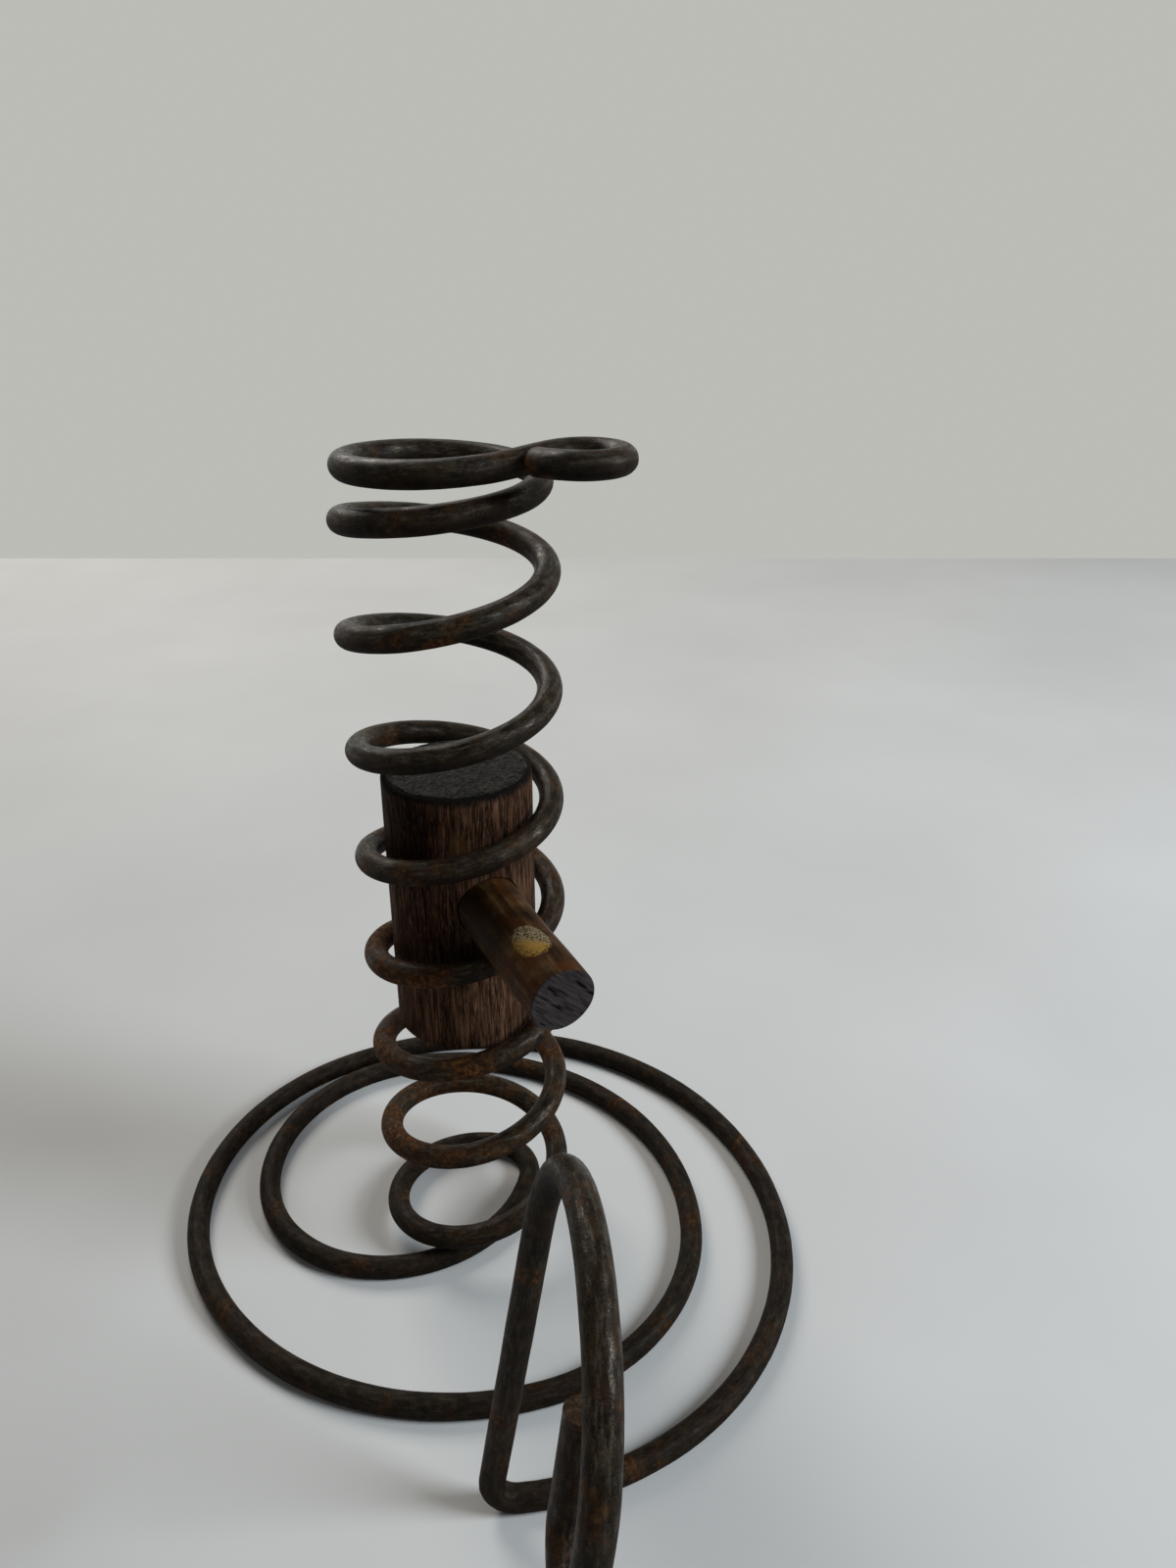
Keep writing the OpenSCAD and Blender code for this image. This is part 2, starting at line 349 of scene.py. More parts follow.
def ramp(tree, source, stops):
    r = node(tree, "ShaderNodeValToRGB")
    elements = r.color_ramp.elements
    while len(elements) < len(stops):
        elements.new(0.5)
    for e, (position, colour) in zip(elements, stops):
        e.position = position
        e.color = (*colour, 1)
    wire(tree, source, r.inputs["Fac"])
    return r.outputs["Color"]


def grey_ramp(tree, source, *stops):
    return ramp(tree, source, [(p, (v, v, v)) for p, v in stops])


def range_of(tree, value, low_in, high_in, low_out=0.0, high_out=1.0):
    """A value eased from one range onto another."""
    m = node(tree, "ShaderNodeMapRange", interpolation_type="SMOOTHSTEP")
    m.inputs["From Min"].default_value = low_in
    m.inputs["From Max"].default_value = high_in
    m.inputs["To Min"].default_value = low_out
    m.inputs["To Max"].default_value = high_out
    wire(tree, value, m.inputs["Value"])
    return m.outputs["Result"]


def noise_tex(tree, vector, scale, detail, rough):
    n = node(tree, "ShaderNodeTexNoise")
    n.inputs["Scale"].default_value = scale
    n.inputs["Detail"].default_value = detail
    n.inputs["Roughness"].default_value = rough
    wire(tree, vector, n.inputs["Vector"])
    return n.outputs["Fac"]


def mapping(tree, vector, location=(0, 0, 0), rotation=(0, 0, 0), scale=(1, 1, 1),
            kind="POINT"):
    m = node(tree, "ShaderNodeMapping", vector_type=kind)
    m.inputs["Location"].default_value = location
    m.inputs["Rotation"].default_value = rotation
    m.inputs["Scale"].default_value = scale
    wire(tree, vector, m.inputs["Vector"])
    return m.outputs["Vector"]


def distance_from(tree, vector, place, along=1.0):
    """Distance from a place, with the part of it along Z counted by a share."""
    n = node(tree, "ShaderNodeVectorMath", operation="DISTANCE")
    wire(tree, mapping(tree, vector, scale=(1, 1, along)), n.inputs[0])
    n.inputs[1].default_value = (place[0], place[1], place[2] * along)
    return n.outputs["Value"]


def mix_colour(tree, factor, a, b):
    m = node(tree, "ShaderNodeMix", data_type="RGBA")
    for name, value in (("Factor", factor), ("A", a), ("B", b)):
        feed(tree, next(s for s in m.inputs if s.name == name and s.enabled), value)
    return next(s for s in m.outputs if s.enabled)


def mix_grey(tree, factor, a, b):
    """A mix of two numbers or patterns, where a number stands for a grey."""
    return mix_colour(tree, factor, *[(v, v, v) if isinstance(v, float) else v for v in (a, b)])


def relief(tree, shader, *layers):
    """Bump from patterns, each with a strength and a depth, one over another."""
    normal = None
    for height, strength, depth in layers:
        b = node(tree, "ShaderNodeBump")
        b.inputs["Strength"].default_value = strength
        b.inputs["Distance"].default_value = depth
        wire(tree, height, b.inputs["Height"])
        if normal is not None:
            wire(tree, normal, b.inputs["Normal"])
        normal = b.outputs["Normal"]
    wire(tree, normal, shader.inputs["Normal"])


def material(name, specular):
    """A material with its tree, its shader and the place on the piece."""
    m = bpy.data.materials.new(name)
    m.use_nodes = True
    tree = m.node_tree
    shader = tree.nodes["Principled BSDF"]
    shader.inputs["Specular IOR Level"].default_value = specular
    return m, tree, shader, node(tree, "ShaderNodeTexCoord").outputs["Object"]


def along_rod(t, across, along):
    """Coordinates that follow the rod: its section across, and its length, each scaled."""
    flat = node(t, "ShaderNodeVectorMath", operation="SCALE")
    wire(t, stored_on_rod(t, "section")["Vector"], flat.inputs[0])
    flat.inputs["Scale"].default_value = across
    section = sides_of(t, flat.outputs["Vector"])
    both = node(t, "ShaderNodeCombineXYZ")
    wire(t, section["X"], both.inputs["X"])
    wire(t, section["Y"], both.inputs["Y"])
    wire(t, times(t, stored_on_rod(t, "along")["Fac"], along), both.inputs["Z"])
    return both.outputs["Vector"]


def old_iron():
    """Dark forged iron: brown-black scale, painted shade where it faces down, rubbed bright in
    streaks, rust in patches.
    """
    m, t, s, at = material("old_iron", specular=0.07)
    place = sides_of(t, at)
    broad = noise_tex(t, at, scale=60, detail=3, rough=0.5)
    mottled = noise_tex(t, at, scale=420, detail=6, rough=0.68)
    fine = noise_tex(t, at, scale=3200, detail=4, rough=0.75)
    streaks = noise_tex(t, along_rod(t, 1500, 380), scale=1.0, detail=4, rough=0.6)
    body = mix_colour(t, grey_ramp(t, broad, (0.45, 0), (0.62, 1)),
                      ramp(t, mottled, SCALE_DARK), ramp(t, mottled, SCALE_WARM))

    # Handling rubs what faces up, and little of what lies on the table. What faces down or lies
    # low is darkened with painted shade.
    rubbed_and_lit = times(t, range_of(t, stored_on_rod(t, "upward")["Fac"], -0.5, 0.7),
                    range_of(t, place["Z"], 0.004, 0.020, 0.35, 1.0))
    # Painted shade: the scale goes near black where the rod faces down or lies low
    body = mix_colour(t, range_of(t, rubbed_and_lit, 0, 1, 0.6, 0), body, PAINTED_UNDERSIDE_SHADE)
    rubbed = blend(t, streaks, 0.62, fine, 0.38)
    bright = times(t, grey_ramp(t, rubbed, (0.49, 0), (0.75, 1)), rubbed_and_lit)
    body = mix_colour(t, bright, body, RUBBED_IRON)

    # Rust: most on the lower coil and its left side, some on the foot and at the filed end
    near_axis = range_of(t, distance_from(t, at, AXIS, along=0.0), 0.034, 0.024)
    lower = times(t, range_of(t, place["Z"], 0.006, 0.022), range_of(t, place["Z"], 0.112, 0.072))
    left = range_of(t, place["X"], AXIS[0] + 0.016, AXIS[0] - 0.016, 0.55, 1.0)
    filed_end = range_of(t, stored_on_rod(t, "along")["Fac"], 0.0050, 0.0015, 0.0, 0.09)
    more = plus(t, times(t, times(t, lower, near_axis), times(t, left, 0.17)), filed_end)
    patches = noise_tex(t, mapping(t, at, location=(0.31, 0.11, 0.07)), scale=105, detail=5,
                        rough=0.66)
    rusty = grey_ramp(t, plus(t, patches, more), (0.555, 0), (0.75, 1))
    rust = ramp(t, noise_tex(t, at, scale=900, detail=6, rough=0.75), RUST)

    wire(t, mix_colour(t, times(t, rusty, 0.9), body, rust), s.inputs["Base Color"])
    wire(t, mix_grey(t, rusty, times(t, bright, 0.95), 0.0), s.inputs["Metallic"])
    polish = mix_grey(t, rubbed_and_lit, 0.72, grey_ramp(t, rubbed, (0.40, 0.38), (0.62, 0.20)))
    wire(t, mix_grey(t, rusty, polish, 0.70), s.inputs["Roughness"])
    relief(t, s, (streaks, 0.20, 0.00006), (mottled, 0.45, 0.00014), (fine, 0.60, 0.00010))
    return m


def wood_fibres(t, at, across, along, shift=(0, 0, 0)):
    """Fibres along Z, from their own place in the pattern."""
    stretched = mapping(t, mapping(t, at, location=shift), scale=(across, across, along))
    return noise_tex(t, stretched, scale=1.0, detail=5, rough=0.6)


def plug_wood():
    """Dark oiled hardwood with upright fibres and open pores, painted light on its right side,
    charred at the top edge.
    """
    m, t, s, at = material("plug_wood", specular=0.03)
    place = sides_of(t, at)
    fibres = wood_fibres(t, at, 3000, 170)
    streaks = wood_fibres(t, at, 1100, 45, shift=(0.3, 0.1, 0))
    blotch = noise_tex(t, at, scale=62, detail=4, rough=0.6)
    tone = blend(t, fibres, 0.55, streaks, 0.45)

    # Worn paler below the peg, and paler on the right, where painted light stands for the lamp's
    # light on that side
    below_peg = range_of(t, place["Z"], (PEG_AXIS_Z - 11) * MM, (PEG_AXIS_Z - 17) * MM, 0.0, 0.14)
    # Painted light: the right side of the plug made paler
    lit_right_side = range_of(t, place["X"], AXIS[0] - 0.004, AXIS[0] + 0.011, -0.04, 0.18)
    wear_and_lit_side = plus(t, blotch, plus(t, below_peg, lit_right_side))
    colour = mix_colour(t, grey_ramp(t, wear_and_lit_side, (0.44, 0), (0.66, 1)),
                        ramp(t, tone, PLUG_DARK), ramp(t, tone, PLUG_WORN))

    # Charred at the top edge, raggedly
    ragged = plus(t, place["Z"], times(t, streaks, 0.003))
    char = range_of(t, ragged, PLUG_TOP - 0.0002, PLUG_TOP + 0.0014)
    colour = mix_colour(t, char, colour, PLUG_CHAR)

    # A golden spot at the front, above the peg
    spot_at = (AXIS[0] + 0.0013, AXIS[1] - PLUG_R, 0.0975)
    spot = plus(t, distance_from(t, at, spot_at, along=0.6), times(t, fibres, 0.003))
    golden = range_of(t, spot, 0.0040, 0.0018)
    colour = mix_colour(t, times(t, golden, 0.7), colour, PLUG_SPOT)

    flecks = wood_fibres(t, at, 4600, 520, shift=(0.7, 0.2, 0.5))
    fleck = times(t, grey_ramp(t, flecks, (0.56, 0), (0.64, 0.55)),
                  math_node(t, "SUBTRACT", 1.0, char))
    colour = mix_colour(t, fleck, colour, PLUG_FLECK)
    pore = grey_ramp(t, wood_fibres(t, at, 3400, 210, shift=(0.2, 0.4, 0.1)), (0.40, 1), (0.46, 0))
    colour = mix_colour(t, times(t, pore, 0.8), colour, PLUG_PORE)
    wire(t, colour, s.inputs["Base Color"])
    wire(t, grey_ramp(t, tone, (0.4, 0.80), (0.62, 0.55)), s.inputs["Roughness"])
    relief(t, s, (tone, 0.6, 0.00022), (pore, 0.5, 0.0001))
    return m


def peg_wood():
    """Smooth brown wood, darkened by painted shade down one side, with a pale worn patch and a
    sawn dark end.
    """
    m, t, s, at = material("peg_wood", specular=0.05)
    local = mapping(t, at, location=tuple(PEG_CENTRE), rotation=tuple(PEG_TURN.to_euler()),
                    kind="TEXTURE")
    place = sides_of(t, local)
    fibres = wood_fibres(t, local, 700, 45)
    blotch = noise_tex(t, local, scale=150, detail=4, rough=0.6)
    tone = blend(t, fibres, 0.45, blotch, 0.55)
    hue = noise_tex(t, mapping(t, local, location=(0.2, 0.6, 0.4)), scale=190, detail=3, rough=0.6)
    colour = mix_colour(t, grey_ramp(t, hue, (0.46, 0), (0.62, 0.8)),
                        ramp(t, tone, PEG_BROWN), PEG_RUDDY)

    # Painted shade down one side of the peg, strongest by the plug
    painted_shade = times(t, range_of(t, place["Y"], 0.0015, -0.0050),
                  range_of(t, place["Z"], 0.036, 0.022, 0.05, 0.75))
    colour = mix_colour(t, painted_shade, colour, PEG_PAINTED_SHADE)

    # Worn patch on the upper side, ragged at its rim, dusty at its corner by the plug
    patch_at = (-0.0058, -0.0010, 0.0328)
    ragged = plus(t, distance_from(t, local, patch_at, along=0.72),
                  times(t, noise_tex(t, local, scale=700, detail=4, rough=0.7), 0.0012))
    patch = range_of(t, ragged, 0.0039, 0.0034)
    speck = grey_ramp(t, noise_tex(t, local, scale=2800, detail=2, rough=0.6),
                      (0.44, 0.05), (0.52, 1))
    corner = math_node(t, "SUBTRACT", times(t, place["Z"], 0.69), times(t, place["Y"], 0.73))
    dusty = range_of(t, corner, 0.0246, 0.0224)
    rim = math_node(t, "MAXIMUM", range_of(t, ragged, 0.0018, 0.0032), dusty)
    spotted = times(t, patch, mix_grey(t, rim, 1.0, speck))
    colour = mix_colour(t, spotted, colour, mix_colour(t, dusty, PEG_GOLDEN, PEG_DUSTY))

    # The sawn end: grey-black, with slanting saw marks
    end = range_of(t, place["Z"], (PEG_REACH - 0.35) * MM, (PEG_REACH - 0.12) * MM)
    slant = mapping(t, local, rotation=(0, 0, -SAW), scale=(1, 1, 0))
    scratch = noise_tex(t, mapping(t, slant, scale=(1500, 190, 1)), scale=1.0, detail=3, rough=0.6)
    deep = noise_tex(t, mapping(t, slant, location=(0.93, 0.57, 0), scale=(950, 110, 1)),
                     scale=1.0, detail=2, rough=0.5)
    kerf = times(t, scratch, grey_ramp(t, deep, (0.38, 0.15), (0.44, 1)))
    wire(t, mix_colour(t, end, colour, ramp(t, kerf, PEG_SAWN)), s.inputs["Base Color"])
    wire(t, mix_grey(t, end, grey_ramp(t, tone, (0.36, 0.62), (0.64, 0.46)), 0.78),
         s.inputs["Roughness"])
    relief(t, s, (tone, 0.35, 0.0002), (times(t, kerf, end), 0.6, 0.00025))
    return m


def wax_and_soot():
    """Old wax gone black with soot: pebbled, glossy in the hollows, dusty on the high spots."""
    m, t, s, at = material("wax_and_soot", specular=0.08)
    pebbles = node(t, "ShaderNodeTexVoronoi", feature="SMOOTH_F1")
    pebbles.inputs["Scale"].default_value = 900
    pebbles.inputs["Smoothness"].default_value = 0.6
    wire(t, at, pebbles.inputs["Vector"])
    grain = noise_tex(t, at, scale=1500, detail=5, rough=0.7)
    lumps = noise_tex(t, at, scale=240, detail=4, rough=0.6)
    wire(t, ramp(t, blend(t, lumps, 0.4, grain, 0.6), WAX), s.inputs["Base Color"])
    wire(t, grey_ramp(t, grain, (0.38, 0.68), (0.62, 0.34)), s.inputs["Roughness"])
    pebbled = blend(t, pebbles.outputs["Distance"], -0.5, grain, 0.6)
    relief(t, s, (pebbled, 1.0, 0.00050), (lumps, 0.5, 0.0004))
    return m


def pale_cloth():
    m, t, s, at = material("pale_table", specular=0.2)
    soft = noise_tex(t, at, scale=9, detail=3, rough=0.5)
    wire(t, ramp(t, soft, CLOTH), s.inputs["Base Color"])
    s.inputs["Roughness"].default_value = 0.9
    return m


def stored(tree, geometry, name, value, kind="FLOAT"):
    """The geometry with a value kept on its points under a name."""
    n = node(tree, "GeometryNodeStoreNamedAttribute", data_type=kind, domain="POINT")
    n.inputs["Name"].default_value = name
    wire(tree, geometry, n.inputs["Geometry"])
    wire(tree, value, n.inputs["Value"])
    return n.outputs["Geometry"]


def moved(tree, geometry, how, value):
    """The geometry with its points set in their position, or pushed by an offset."""
    n = node(tree, "GeometryNodeSetPosition")
    wire(tree, geometry, n.inputs["Geometry"])
    wire(tree, value, n.inputs[how])
    return n.outputs["Geometry"]


def rod_tree(finish):
    """A round rod along a path: section, hammered skin, filed underside, finish."""
    tree = bpy.data.node_groups.new("bent_rod", "GeometryNodeTree")
    face = tree.interface
    face.new_socket("Geometry", in_out="INPUT", socket_type="NodeSocketGeometry")
    for name, kind, value in (
            ("Rod Diameter", "NodeSocketFloat", WIRE_D * MM),
            ("Sides", "NodeSocketInt", 28),
            ("Ring Spacing", "NodeSocketFloat", 0.0011),
            ("Hammer Depth", "NodeSocketFloat", 0.00016),
            ("Hammer Scale", "NodeSocketFloat", 95.0),
            ("Pit Depth", "NodeSocketFloat", 0.00005),
            ("Pit Scale", "NodeSocketFloat", 620.0),
            ("Lowest", "NodeSocketVector", tuple(CAD_BOX[0])),
            ("Highest", "NodeSocketVector", tuple(CAD_BOX[1])),
            ("Finish", "NodeSocketMaterial", finish)):
        socket = face.new_socket(name, in_out="INPUT", socket_type=kind)
        socket.default_value = value
    face.new_socket("Geometry", in_out="OUTPUT", socket_type="NodeSocketGeometry")
    given = node(tree, "NodeGroupInput").outputs

    # The path at even steps, and the round section, each with what the finish needs
    line = node(tree, "GeometryNodeMeshToCurve")
    wire(tree, given["Geometry"], line.inputs["Mesh"])
    even = node(tree, "GeometryNodeResampleCurve", mode="LENGTH")
    wire(tree, line.outputs["Curve"], even.inputs["Curve"])
    wire(tree, given["Ring Spacing"], even.inputs["Length"])
    run = node(tree, "GeometryNodeSplineParameter")
    path = stored(tree, even.outputs["Curve"], "along", run.outputs["Length"])
    circle = node(tree, "GeometryNodeCurvePrimitiveCircle")
    wire(tree, given["Sides"], circle.inputs["Resolution"])
    wire(tree, times(tree, given["Rod Diameter"], 0.5), circle.inputs["Radius"])
    around = node(tree, "GeometryNodeInputPosition")
    section = stored(tree, circle.outputs["Curve"], "section", around.outputs["Position"],
                     "FLOAT_VECTOR")
    tube = node(tree, "GeometryNodeCurveToMesh")
    wire(tree, path, tube.inputs["Curve"])
    wire(tree, section, tube.inputs["Profile Curve"])
    tube.inputs["Fill Caps"].default_value = True
    shape = tube.outputs["Mesh"]

    # Hammer marks and pits, pressed into the skin
    for depth, scale, detail in (("Hammer Depth", "Hammer Scale", 2.0),
                                 ("Pit Depth", "Pit Scale", 3.0)):
        lumps = node(tree, "ShaderNodeTexNoise")
        lumps.inputs["Detail"].default_value = detail
        wire(tree, given[scale], lumps.inputs["Scale"])
        inward = times(tree, times(tree, lumps.outputs["Fac"], given[depth]), -1)
        push = node(tree, "ShaderNodeVectorMath", operation="SCALE")
        wire(tree, node(tree, "GeometryNodeInputNormal").outputs["Normal"], push.inputs[0])
        wire(tree, inward, push.inputs["Scale"])
        shape = moved(tree, shape, "Offset", push.outputs["Vector"])

    # Filed flat at the table, and held inside the box
    within = node(tree, "GeometryNodeInputPosition").outputs["Position"]
    for operation, limit in (("MAXIMUM", "Lowest"), ("MINIMUM", "Highest")):
        held = node(tree, "ShaderNodeVectorMath", operation=operation)
        wire(tree, within, held.inputs[0])
        wire(tree, given[limit], held.inputs[1])
        within = held.outputs["Vector"]
    shape = moved(tree, shape, "Position", within)

    facing = node(tree, "GeometryNodeInputNormal").outputs["Normal"]
    shape = stored(tree, shape, "upward", sides_of(tree, facing)["Z"])
    real = node(tree, "GeometryNodeRealizeInstances")
    wire(tree, shape, real.inputs["Geometry"])
    coat = node(tree, "GeometryNodeSetMaterial")
    wire(tree, real.outputs["Geometry"], coat.inputs["Geometry"])
    wire(tree, given["Finish"], coat.inputs["Material"])
    wire(tree, coat.outputs["Geometry"], node(tree, "NodeGroupOutput").inputs["Geometry"])
    return tree


def link(obj):
    bpy.context.scene.collection.objects.link(obj)
    return obj


def piece_from(name, verts, faces, finish, smooth_faces=True):
    mesh = bpy.data.meshes.new(name)
    mesh.from_pydata([tuple(v) for v in verts], [], faces)
    mesh.materials.append(finish)
    mesh.polygons.foreach_set("use_smooth", [smooth_faces] * len(mesh.polygons))
    mesh.update()
    return link(bpy.data.objects.new(name, mesh))


def settled(obj, modifier):
    """The object with what its modifier makes as its plain mesh, and the modifier gone."""
    bpy.context.view_layer.update()
    graph = bpy.context.evaluated_depsgraph_get()
    mesh = bpy.data.meshes.new_from_object(obj.evaluated_get(graph))
    obj.modifiers.remove(modifier)
    obj.data = mesh
    return obj


def grown(obj, tree, values):
    """The object as its tree makes it, with some of the tree's inputs set."""
    grow = obj.modifiers.new("grow", "NODES")
    grow.node_group = tree
    for item in tree.interface.items_tree:
        if item.item_type == "SOCKET" and item.in_out == "INPUT" and item.name in values:
            grow[item.identifier] = values[item.name]
    settled(obj, grow)
    obj.data.polygons.foreach_set("use_smooth", [True] * len(obj.data.polygons))
    obj.data.update()
    return obj


def iron_rod(finish):
    points = rod_path()
    edges = [(i, i + 1) for i in range(len(points) - 1)]
    mesh = bpy.data.meshes.new("iron_rod")
    mesh.from_pydata([tuple(p) for p in points], edges, [])
    rod = link(bpy.data.objects.new("iron_rod", mesh))
    return grown(rod, rod_tree(finish), {"Finish": finish})


def lumps_at(x, y, z):
    """A smooth random pattern, from about -1 to 1."""
    return noise.noise(Vector((x, y, z)))


def circle_points(sides):
    for k in range(sides):
        a = 2 * math.pi * k / sides
        yield math.cos(a), math.sin(a)


def rounded(depth, edge):
    """How far a rounded edge stands in from the side, at a depth below the end."""
    return 0.0 if depth >= edge else edge - math.sqrt(max(0, edge ** 2 - (edge - depth) ** 2))


def quarter(count):
    return np.linspace(0, math.pi / 2, count + 1)


def closed_skin(verts, sides, foot, top):
    """Faces between rings of points, with both ends closed round a point in their middle."""
    rings = len(verts) // sides
    faces = []
    for i in range(rings - 1):
        for k in range(sides):
            a, b = i * sides + k, i * sides + (k + 1) % sides
            faces.append((a, b, b + sides, a + sides))
    for level, middle in ((0, foot), (rings - 1, top)):
        hub = len(verts)
        verts.append(middle)
        for k in range(sides):
            a, b = level * sides + k, level * sides + (k + 1) % sides
            faces.append((hub, b, a) if level == 0 else (hub, a, b))
    return faces


def plug_cut(c, s, h):
    """Depth of the plug's fibres and fissures, and of its unevenness from the turning."""
    clear = 0.00003
    fibre = 0.00007 * max(0, lumps_at(c * 60, s * 60, h * 45))
    fissure = 0.0001 * max(0, lumps_at(c * 17 + 9, s * 17, h * 12) - 0.15)
    uneven = 0.00012 * (0.5 + lumps_at(c * 1.6 + 3, s * 1.6, h * 22))
    return clear + fibre + fissure + uneven


def wooden_plug(finish):
    """The plug: fibres and fissures cut into a round billet, and the peg's blind hole."""
    sides, rows, edge_rings = 300, 120, 5
    edge = PLUG_EDGE * MM
    heights = np.concatenate([
        PLUG_FOOT + edge * (1 - np.cos(quarter(edge_rings)[:-1])),
        np.linspace(PLUG_FOOT + edge, PLUG_TOP - edge, rows),
        PLUG_TOP - edge * (1 - np.sin(quarter(edge_rings)[1:])),
    ])
    verts = []
    for h in heights:
        inset = rounded(min(h - PLUG_FOOT, PLUG_TOP - h), edge)
        for c, s in circle_points(sides):
            r = PLUG_R - inset - max(0, plug_cut(c, s, h))
            verts.append((AXIS[0] + r * c, AXIS[1] + r * s, h))
    faces = closed_skin(verts, sides, (AXIS[0], AXIS[1], PLUG_FOOT), (AXIS[0], AXIS[1], PLUG_TOP))
    plug = piece_from("wooden_plug", verts, faces, finish)

    drill = bpy.data.meshes.new("drill")
    bm = bmesh.new()
    drill_r = (PEG_D / 2 + DRILL_CLEAR) * MM
    bmesh.ops.create_cone(bm, cap_ends=True, segments=64, radius1=drill_r, radius2=drill_r,
                          depth=DRILL_LENGTH * MM)
    out = PLUG_R + (DRILL_LENGTH / 2 - PEG_DEPTH) * MM
    bm.transform(PEG_PLACE @ Matrix.Translation((0, 0, out)))
    bm.to_mesh(drill)
    bm.free()
    cutter = link(bpy.data.objects.new("drill", drill))
    hole = plug.modifiers.new("hole", "BOOLEAN")
    hole.operation = "DIFFERENCE"
    hole.solver = "EXACT"
    hole.object = cutter
    settled(plug, hole)
    bpy.data.objects.remove(cutter)
    return plug


def saw_cut(x, y):
    """Depth of the saw's marks at a place on the peg's end."""
    u = x * math.cos(SAW) + y * math.sin(SAW)
    v = y * math.cos(SAW) - x * math.sin(SAW)
    return 0.00012 * max(0.0, 0.3 - lumps_at(u * 900, v * 140, 2))


def peg_cut(c, s, h, out):
    """Depth of the peg's waist and whittled facets, in millimetres, where it is out so far."""
    clear, waist_at, waist_reach = 0.03, 27, 6.0
    waist = 0.10 * math.exp(-((out - waist_at) / waist_reach) ** 2)
    facet = 0.10 * (0.5 + lumps_at(c * 1.4, s * 1.4, h * 55 + 4))
    return clear + waist + facet


def turning_peg(finish):
    """The peg: a whittled dowel, a little waisted by wear, with a sawn end."""
    sides, rows, edge_rings, end_rings = 96, 90, 4, 19
    length = (PEG_REACH - PLUG_R / MM + PEG_DEPTH) * MM
    start = PLUG_R - PEG_DEPTH * MM
    edge = PEG_EDGE * MM
    stations = np.concatenate([np.linspace(0, length - edge, rows),
                               length - edge * (1 - np.sin(quarter(edge_rings)[1:]))])
    rings = [(0.0, 0.4), (0.0, 0.75)] + [(h, 1.0) for h in stations]
    rings += [(length, share) for share in np.linspace(1, 0, end_rings + 1)[1:-1]]
    verts = []
    for h, share in rings:
        inset = rounded(length - h, edge)
        for c, s in circle_points(sides):
            r = PEG_D / 2 * MM - inset - peg_cut(c, s, h, (start + h) / MM) * MM
            x, y = r * share * c, r * share * s
            cut = saw_cut(x, y) if share < 1 and h > 0 else 0.0
            verts.append((x, y, start + h - cut))
    faces = closed_skin(verts, sides, (0, 0, start), (0, 0, start + length - saw_cut(0, 0)))
    peg = piece_from("turning_peg", verts, faces, finish)
    peg.data.transform(PEG_PLACE)
    return peg


def sooty_wax(finish):
    """The skin of old wax on the plug's top: lumpy, ragged at its rim."""
    sides, rings = 220, 70
    rim = PLUG_R - PLUG_EDGE * MM
    ragged = 0.0003
    thick, least = SKIN_TOP - SKIN_FOOT, 0.00005
    fall_from, rim_share = 0.93, 0.15
    around = list(circle_points(sides))

    def point(share, k, top):
        c, s = around[k]
        r = (rim - ragged * (0.5 + lumps_at(c * 3, s * 3, 7))) * share
        x, y = r * c, r * s
        if not top:
            return AXIS[0] + x, AXIS[1] + y, SKIN_FOOT
        lump = 0.5 + lumps_at(x * 420, y * 420, 1)
        pebble = 0.5 + lumps_at(x * 1500, y * 1500, 5)
        h = thick * (0.25 + 0.4 * lump + 0.35 * pebble)
        fall = max(0, (share - fall_from) / (1 - fall_from))
        h *= math.sqrt(max(0.0, 1 - fall ** 2)) * (1 - rim_share) + rim_share
        return AXIS[0] + x, AXIS[1] + y, SKIN_FOOT + min(thick, max(least, h))

    verts = [point(0, 0, True)]
    for i in range(1, rings + 1):
        verts += [point(i / rings, k, True) for k in range(sides)]
    under = len(verts)
    verts += [point(1, k, False) for k in range(sides)]
    verts.append((AXIS[0], AXIS[1], SKIN_FOOT))
    faces = []
    for k in range(sides):
        b = (k + 1) % sides
        faces.append((0, 1 + k, 1 + b))
        for i in range(rings - 1):
            p = 1 + i * sides
            faces.append((p + k, p + sides + k, p + sides + b, p + b))
        last = 1 + (rings - 1) * sides
        faces.append((last + k, under + k, under + b, last + b))
        faces.append((under + sides, under + b, under + k))
    return piece_from("sooty_wax", verts, faces, finish)


def area_light(name, at, aim, size, power, colour):
    lamp = bpy.data.lights.new(name, "AREA")
    lamp.shape = "DISK"
    lamp.size = size
    lamp.energy = power
    lamp.color = colour
    obj = link(bpy.data.objects.new(name, lamp))
    obj.location = at
    obj.rotation_euler = (Vector(aim) - Vector(at)).to_track_quat("-Z", "Y").to_euler()


def background(tree, colour, strength):
    n = node(tree, "ShaderNodeBackground")
    feed(tree, n.inputs["Color"], colour)
    n.inputs["Strength"].default_value = strength
    return n.outputs["Background"]


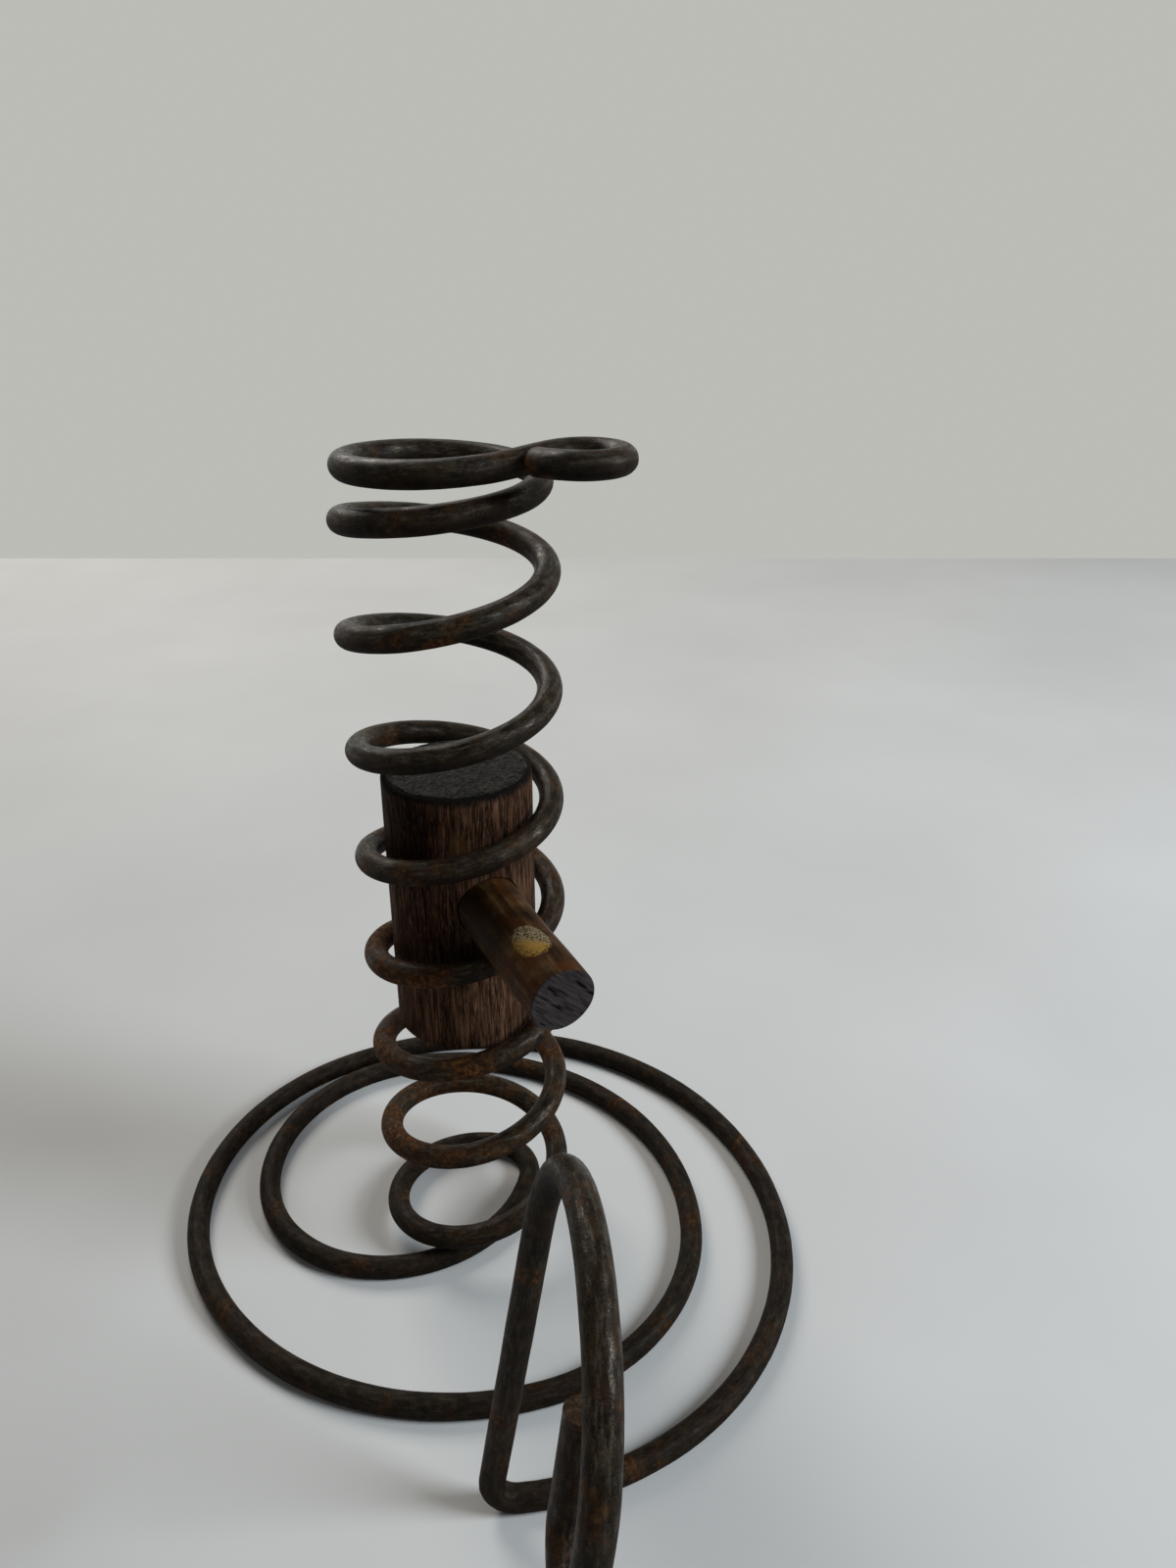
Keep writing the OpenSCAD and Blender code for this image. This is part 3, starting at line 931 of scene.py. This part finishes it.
def room():
    """A dim room as light, and a pale wall where it is seen, mirrored or seen through."""
    world = bpy.data.worlds.new("room")
    bpy.context.scene.world = world
    world.use_nodes = True
    tree = world.node_tree
    tree.nodes.remove(tree.nodes["Background"])
    seen = node(tree, "ShaderNodeLightPath").outputs
    mirrored = math_node(tree, "MAXIMUM", seen["Is Glossy Ray"], seen["Is Transmission Ray"])
    both = node(tree, "ShaderNodeMixShader")
    wire(tree, math_node(tree, "MAXIMUM", seen["Is Camera Ray"], mirrored), both.inputs["Fac"])
    wire(tree, background(tree, (0.92, 0.95, 1.0), strength=0.10), both.inputs[1])
    wire(tree, background(tree, (0.50, 0.505, 0.47), strength=1.0), both.inputs[2])
    wire(tree, both.outputs["Shader"], tree.nodes["World Output"].inputs["Surface"])


def photo_camera():
    camera = bpy.data.cameras.new("camera")
    camera.sensor_fit = "HORIZONTAL"
    camera.sensor_width = SENSOR
    camera.lens = LENS
    camera.clip_start = 0.01
    camera.clip_end = 20
    eye = link(bpy.data.objects.new("camera", camera))
    eye.location = Vector(AXIS) + Vector(CAMERA_FROM_AXIS) * MM
    eye.rotation_euler = (math.radians(CAMERA_TILT), 0, 0)
    bpy.context.scene.camera = eye


rod = iron_rod(old_iron())
plug = wooden_plug(plug_wood())
peg = turning_peg(peg_wood())
wax = sooty_wax(wax_and_soot())

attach(rod, "stand")
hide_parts("thumb_eye", "top_turns", "coil", "base_spiral", "handle")
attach(plug, "turner")
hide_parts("plug")
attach(peg, "turner")
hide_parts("peg")
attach(wax, "riser")
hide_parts("wax_skin")

near, far = -TABLE_HALF, AXIS[1] + TABLE_DEPTH
table = piece_from("table", [(-TABLE_HALF, near, 0), (TABLE_HALF, near, 0),
                             (TABLE_HALF, far, 0), (-TABLE_HALF, far, 0)],
                   [(0, 1, 2, 3)], pale_cloth(), False)

aim = (0, 0, 0.07)
area_light("window", (0.85, -0.18, 0.62), aim, size=0.45, power=9.0, colour=(0.82, 0.91, 1.0))
area_light("back_window", (-0.45, 0.75, 0.80), aim, size=0.6, power=6.0,
           colour=(1.0, 0.975, 0.94))
room()
photo_camera()
bpy.context.scene.view_settings.view_transform = "Standard"
